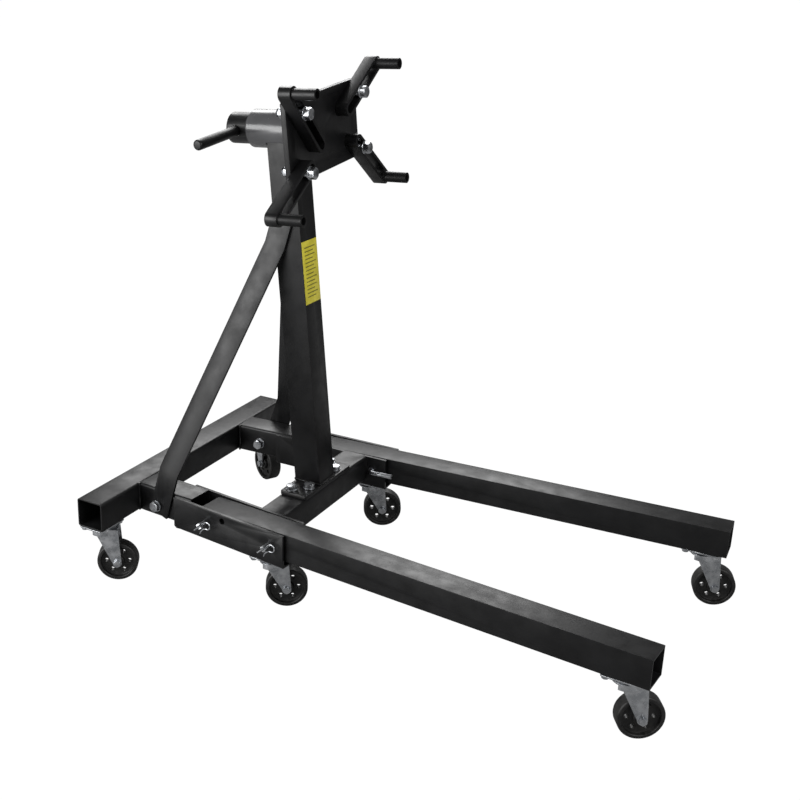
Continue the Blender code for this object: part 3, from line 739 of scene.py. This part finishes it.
def make_caster_plate():
    """X along the plate's long side, its top face at z = 0."""
    sheet = cuboid("caster_plate", (-37 * MM, -28 * MM, -3 * MM), (37 * MM, 28 * MM, 0))
    round_long_edges(sheet, (0, 0, 1), 6, 1)
    soften(sheet, 0.5)
    race = turned("race", [(0, -1.5 * MM), (19 * MM, -1.5 * MM), (21 * MM, -3.2 * MM), (23.4 * MM, -4 * MM),
                           (23.4 * MM, -5.4 * MM), (22 * MM, -6.6 * MM), (18 * MM, -7.9 * MM),
                           (5 * MM, -7.9 * MM), (5 * MM, -12 * MM), (9 * MM, -12 * MM),
                           (8 * MM, -14.4 * MM), (0, -14.6 * MM)], 56)
    parts = [sheet, race]
    for x in (-29 * MM, 29 * MM):
        for y in (-20 * MM, 20 * MM):
            bolt = hexagon("bolt", 11 * MM, -3 * MM, -8 * MM)
            put(bolt, Matrix.Translation((x, y, 0)))
            parts.append(bolt)
    return joined(parts, "caster_plate")


WHEEL = make_wheel()
AXLE = make_axle()
PLATE = make_caster_plate()
for end in ("rear", "middle", "front"):
    for side in SIDES:
        name = f"{end}_caster_{side}"
        swivel = JOINTS[f"{name}_swivel"]
        roll = JOINTS[f"{name}_roll"]
        across = Vector(roll["axis"])
        place = axes_at((*swivel["pos_m"][:2], 0), across.cross(UP), across)
        low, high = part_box(f"{name}_plate")
        fork_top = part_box(f"{name}_fork")[1].z
        fork = make_fork(fork_top)
        put(fork, place)
        finished(fork, ZINC, f"{name}_swivel", [f"{name}_fork"], 35).name = f"{name}_cheeks"
        axle = copied(AXLE, f"{name}_axle_bolt", place)
        finished(axle, ZINC, f"{name}_swivel", [f"{name}_axle"], 30)
        wheel = copied(WHEEL, f"{name}_tyre", place @ Matrix.Translation((TRAIL, 0, WHEEL_RADIUS)))
        finished(wheel, POLYMER, f"{name}_wheel", [f"{name}_wheel"], 30)
        long_x = (high.x - low.x) > (high.y - low.y)
        turn = Matrix.Identity(4) if long_x else Matrix.Rotation(math.radians(90), 4, "Z")
        base = Matrix.Translation(((low.x + high.x) / 2, (low.y + high.y) / 2, high.z)) @ turn
        plate_body = body_of(f"{name}_plate")
        finished(copied(PLATE, f"{name}_top_plate", base), ZINC, plate_body, [f"{name}_plate"], 30)
for model in (WHEEL, AXLE, PLATE, UNIT_HEAD):
    bpy.data.objects.remove(model)
print("casters made")

# %% [markdown]
# Hitch pins hold the legs, and a spring clip of bent wire keeps each pin in. The frame already has their bent
# shape, so each is copied, merged and shaded smooth.

# %% Pins and clips
for side in SIDES:
    for kind in ("pivot", "lock"):
        pin = reworked(f"{kind}_pin_{side}", f"{kind}_hitch_pin_{side}")
        soften(pin, 0.8, 2, 50)
        finished(pin, ZINC, body_of(f"{kind}_pin_{side}"), [f"{kind}_pin_{side}"], 45)
        clip = reworked(f"{kind}_clip_{side}", f"{kind}_spring_clip_{side}")
        finished(clip, ZINC, body_of(f"{kind}_clip_{side}"), [f"{kind}_clip_{side}"], 60)
print("pins and clips made")

# %% [markdown]
# Fillet welds join the tubes. A weld is a row of overlapping drops, so each bead is a round bar whose
# thickness swells and shrinks every few millimetres along its path.


# %% Welds
DROP_MM = 3.2
BEAD_MM = 2.6


def weld(name, points, closed=False, finish=BLACK_COAT, radius_mm=BEAD_MM):
    """A bead along straight runs between points."""
    points = [Vector(point) for point in points]
    if closed:
        points.append(points[0])
    curve = bpy.data.curves.new(name, "CURVE")
    curve.dimensions = "3D"
    curve.bevel_depth = radius_mm * MM
    curve.bevel_resolution = 3
    curve.use_fill_caps = True
    path = [points[0]]
    for start, end in zip(points, points[1:]):
        count = max(2, int((end - start).length / (DROP_MM * MM / 4)))
        path += [start.lerp(end, (k + 1) / count) for k in range(count)]
    spline = curve.splines.new("POLY")
    spline.points.add(len(path) - 1)
    for k, (point, at) in enumerate(zip(spline.points, path)):
        point.co = (*at, 1)
        point.radius = 0.86 + 0.16 * math.sin(math.tau * k / 4) + 0.05 * math.sin(k * 1.7)
    bead = bpy.data.objects.new(name, curve)
    bpy.context.scene.collection.objects.link(bead)
    activate(bead)
    bpy.ops.object.convert(target="MESH")
    return finished(bpy.context.active_object, finish, "base", (), 60)


for side, sign in SIDES.items():
    rail = rail_frame(side)
    half = TUBE / 2
    corners = ((half, -half), (half, half), (-half, half), (-half, -half))
    ring = [rail @ Vector((1 * MM, y, CROSS_Z + z)) for y, z in corners]
    weld(f"stub_weld_{side}", ring[:2])
    weld(f"stub_inner_weld_{side}", ring[2:])
    for z in (122 * MM, 176 * MM):
        ends = [(101 * MM, z), (135 * MM, z)]
        for hand in (-1, 1):
            seam = [rail @ Vector((u, hand * (half + 1 * MM), level)) for u, level in ends]
            weld(f"channel_weld_{side}_{hand + 1}_{int(z / MM)}", seam)
    tube_low, tube_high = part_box("front_cross_tube")
    reach = tube_high.y if sign > 0 else tube_low.y
    for x in (tube_low.x + 2 * MM, tube_high.x - 2 * MM):
        y = reach - sign * (5.5 * MM if x < (tube_low.x + tube_high.x) / 2 else 1.5 * MM)
        seam = [(x, y, tube_low.z + 4 * MM), (x, y, tube_high.z - 4 * MM)]
        weld(f"front_weld_{side}_{int((x - tube_low.x) / MM)}", seam)
plate_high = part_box("upright_base_plate")[1]
UPRIGHT_HALF = 29 * MM
foot_x = REAR_X + 347 * MM
foot_corners = ((-1, -1), (1, -1), (1, 1), (-1, 1))
foot = [(foot_x + a * UPRIGHT_HALF, b * UPRIGHT_HALF, plate_high.z + 1 * MM) for a, b in foot_corners]
weld("foot_weld", foot, True, radius_mm=3)
SLEEVE_RADIUS = 36 * MM
sleeve_points = []
for step in range(13):
    angle = math.radians(-90 - 56 + 112 * step / 12)
    y = math.cos(angle) * SLEEVE_RADIUS
    z = math.sin(angle) * SLEEVE_RADIUS
    sleeve_points.append((y, z))
for number, t in enumerate((-108 * MM, -47 * MM)):
    seam = [HEAD_FRAME @ Vector((t, y, z)) for y, z in sleeve_points]
    weld(f"sleeve_weld_{number}", seam, False, BLACK_COAT, 3)
print("welds made")

# %% [markdown]
# The label is vinyl film on the front of the upright. It has blank bars where print would be, so it carries
# no words.

# %% Label
LABEL_LOW, LABEL_HIGH = 371 * MM, 494 * MM
LABEL_HALF_WIDTH = 28 * MM
FILM = 0.4 * MM
foot_z = plate_high.z
upright_frame = axes_at((foot_x, 0, foot_z), Vector((math.cos(LEAN), 0, math.sin(LEAN))), (0, 1, 0))
film = cuboid("label_film", (UPRIGHT_HALF - FILM / 2, -LABEL_HALF_WIDTH, LABEL_LOW),
              (UPRIGHT_HALF + FILM, LABEL_HALF_WIDTH, LABEL_HIGH))
soften(film, 0.2)
put(film, upright_frame)
finished(film, YELLOW_VINYL, "base")
bars = []
for row in range(14):
    level = LABEL_HIGH - 14 * MM - row * 7.4 * MM
    reach = (19, 12, 17, 9)[row % 4] * MM
    bars.append(cuboid("bar", (UPRIGHT_HALF + FILM / 2, -19 * MM, level),
                       (UPRIGHT_HALF + 1.4 * FILM, reach, level + 2.2 * MM)))
print_bars = joined(bars, "label_bars")
put(print_bars, upright_frame)
finished(print_bars, GREY_PRINT, "base")
print("label made")

# %% [markdown]
# The stage is a pale floor and large soft lights, as in a product studio. Black steel shows only what it
# reflects, so the lights are big: one above and behind brightens the top faces, one low in front on the left
# draws the long sides, and a smaller one in front on the right lights the label and the ends that face it.

# %% Floor, lights and camera
bpy.ops.object.select_all(action="DESELECT")
bpy.ops.mesh.primitive_plane_add(size=60, location=(0, 0, -0.4 * MM))
ground = bpy.context.active_object
ground.name = "floor"
paper = bpy.data.materials.new("white_studio_paper")
paper.use_nodes = True
tree = paper.node_tree
paper_shader = tree.nodes["Principled BSDF"]
paper_shader.inputs["Roughness"].default_value = 0.9
paper_shader.inputs["Specular IOR Level"].default_value = 0.1
paper_shader.inputs["Base Color"].default_value = linear("#949494")
seen = add_node(tree, "ShaderNodeLightPath").outputs["Is Camera Ray"]
glow = add_node(tree, "ShaderNodeEmission", {"Color": (1, 1, 1, 1), "Strength": 1.08})
lit = add_node(tree, "ShaderNodeMixShader", {"Fac": 0.93})
tree.links.new(paper_shader.outputs["BSDF"], lit.inputs[1])
tree.links.new(glow.outputs["Emission"], lit.inputs[2])
both = add_node(tree, "ShaderNodeMixShader", None, {"Fac": seen})
tree.links.new(paper_shader.outputs["BSDF"], both.inputs[1])
tree.links.new(lit.outputs["Shader"], both.inputs[2])
tree.links.new(both.outputs["Shader"], tree.nodes["Material Output"].inputs["Surface"])
ground.data.materials.append(paper)

world = bpy.data.worlds.new("studio")
bpy.context.scene.world = world
world.use_nodes = True
sky = world.node_tree
dim = sky.nodes["Background"]
dim.inputs["Color"].default_value = (1, 1, 1, 1)
dim.inputs["Strength"].default_value = 0.16
bright = add_node(sky, "ShaderNodeBackground", {"Color": (1, 1, 1, 1), "Strength": 1.0})
seen_sky = add_node(sky, "ShaderNodeLightPath").outputs["Is Camera Ray"]
chosen = add_node(sky, "ShaderNodeMixShader", None, {"Fac": seen_sky})
sky.links.new(dim.outputs["Background"], chosen.inputs[1])
sky.links.new(bright.outputs["Background"], chosen.inputs[2])
sky.links.new(chosen.outputs["Shader"], sky.nodes["World Output"].inputs["Surface"])


def softbox(name, place, target, size, power):
    data = bpy.data.lights.new(name, "AREA")
    data.shape = "RECTANGLE"
    data.size, data.size_y = size
    data.energy = power
    lamp = bpy.data.objects.new(name, data)
    bpy.context.scene.collection.objects.link(lamp)
    lamp.location = place
    lamp.rotation_euler = (Vector(target) - Vector(place)).to_track_quat("-Z", "Y").to_euler()


softbox("top_back", (-1.6, 2.6, 2.6), (0, 0, 0.4), (3.0, 2.0), 120)
softbox("low_left", (-1.6, -2.4, 1.0), (0, 0, 0.4), (2.4, 1.6), 85)
softbox("front_right", (2.6, -0.8, 2.0), (0, 0, 0.5), (1.4, 1.4), 45)

camera_data = bpy.data.cameras.new("camera")
camera_data.lens = 1223.5 / 800 * 36
camera_data.sensor_width = 36
camera_data.shift_x = 0.1
camera_data.shift_y = -0.03
camera_data.clip_end = 100
camera = bpy.data.objects.new("camera", camera_data)
bpy.context.scene.collection.objects.link(camera)
camera.location = (REAR_X + 1.4805, -1.9751, 1.2534)
CAMERA_YAW, CAMERA_PITCH, CAMERA_ROLL = 29.69, 20.41, 1.17
tilt = Matrix.Rotation(math.radians(90 - CAMERA_PITCH), 4, "X")
aim = Matrix.Rotation(math.radians(CAMERA_YAW), 4, "Z") @ tilt
camera.rotation_euler = (aim @ Matrix.Rotation(math.radians(CAMERA_ROLL), 4, "Z")).to_euler()
bpy.context.scene.camera = camera
bpy.context.scene.view_settings.view_transform = "Standard"
